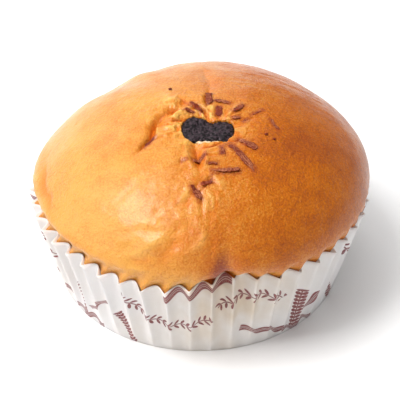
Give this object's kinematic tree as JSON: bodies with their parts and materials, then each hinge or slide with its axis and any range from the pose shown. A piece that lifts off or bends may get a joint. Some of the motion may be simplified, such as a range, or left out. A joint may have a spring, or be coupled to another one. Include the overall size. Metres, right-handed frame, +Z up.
{
  "type": "chocolate cheese bun",
  "caption": "Round baked bun in a fluted paper cup, with a dark filling in a puckered opening at the top and shredded chocolate on the crust.",
  "frame": {"origin": "middle of the paper cup's flat underside, on the surface that the cup stands on", "axes": "+Z up out of the cup through the bun's dome; -Y is the front, the side of the seam that runs down from the opening; +X is to the right of the front"},
  "size_m": [0.0998, 0.0999, 0.0598],
  "materials": {
    "greaseproof_paper": "matte",
    "baked_crust": "satin",
    "chocolate_filling": "matte",
    "cream_cheese": "satin",
    "shredded_chocolate": "satin"
  },
  "bodies": {
    "root": {"paper_cup": "greaseproof_paper", "bun": "baked_crust", "chocolate_filling": "chocolate_filling", "cream_cheese_edge": "cream_cheese", "chocolate_shred_01": "shredded_chocolate", "chocolate_shred_02": "shredded_chocolate", "chocolate_shred_03": "shredded_chocolate", "chocolate_shred_04": "shredded_chocolate", "chocolate_shred_05": "shredded_chocolate", "chocolate_shred_06": "shredded_chocolate", "chocolate_shred_07": "shredded_chocolate", "chocolate_shred_08": "shredded_chocolate", "chocolate_shred_09": "shredded_chocolate", "chocolate_shred_10": "shredded_chocolate", "chocolate_shred_11": "shredded_chocolate", "chocolate_shred_12": "shredded_chocolate", "chocolate_shred_13": "shredded_chocolate", "chocolate_shred_14": "shredded_chocolate", "chocolate_shred_15": "shredded_chocolate", "chocolate_shred_16": "shredded_chocolate", "chocolate_shred_17": "shredded_chocolate", "chocolate_shred_18": "shredded_chocolate", "chocolate_shred_19": "shredded_chocolate", "chocolate_shred_20": "shredded_chocolate", "chocolate_crumb_01": "shredded_chocolate", "chocolate_crumb_02": "shredded_chocolate", "chocolate_crumb_03": "shredded_chocolate"}
  },
  "joints": []
}
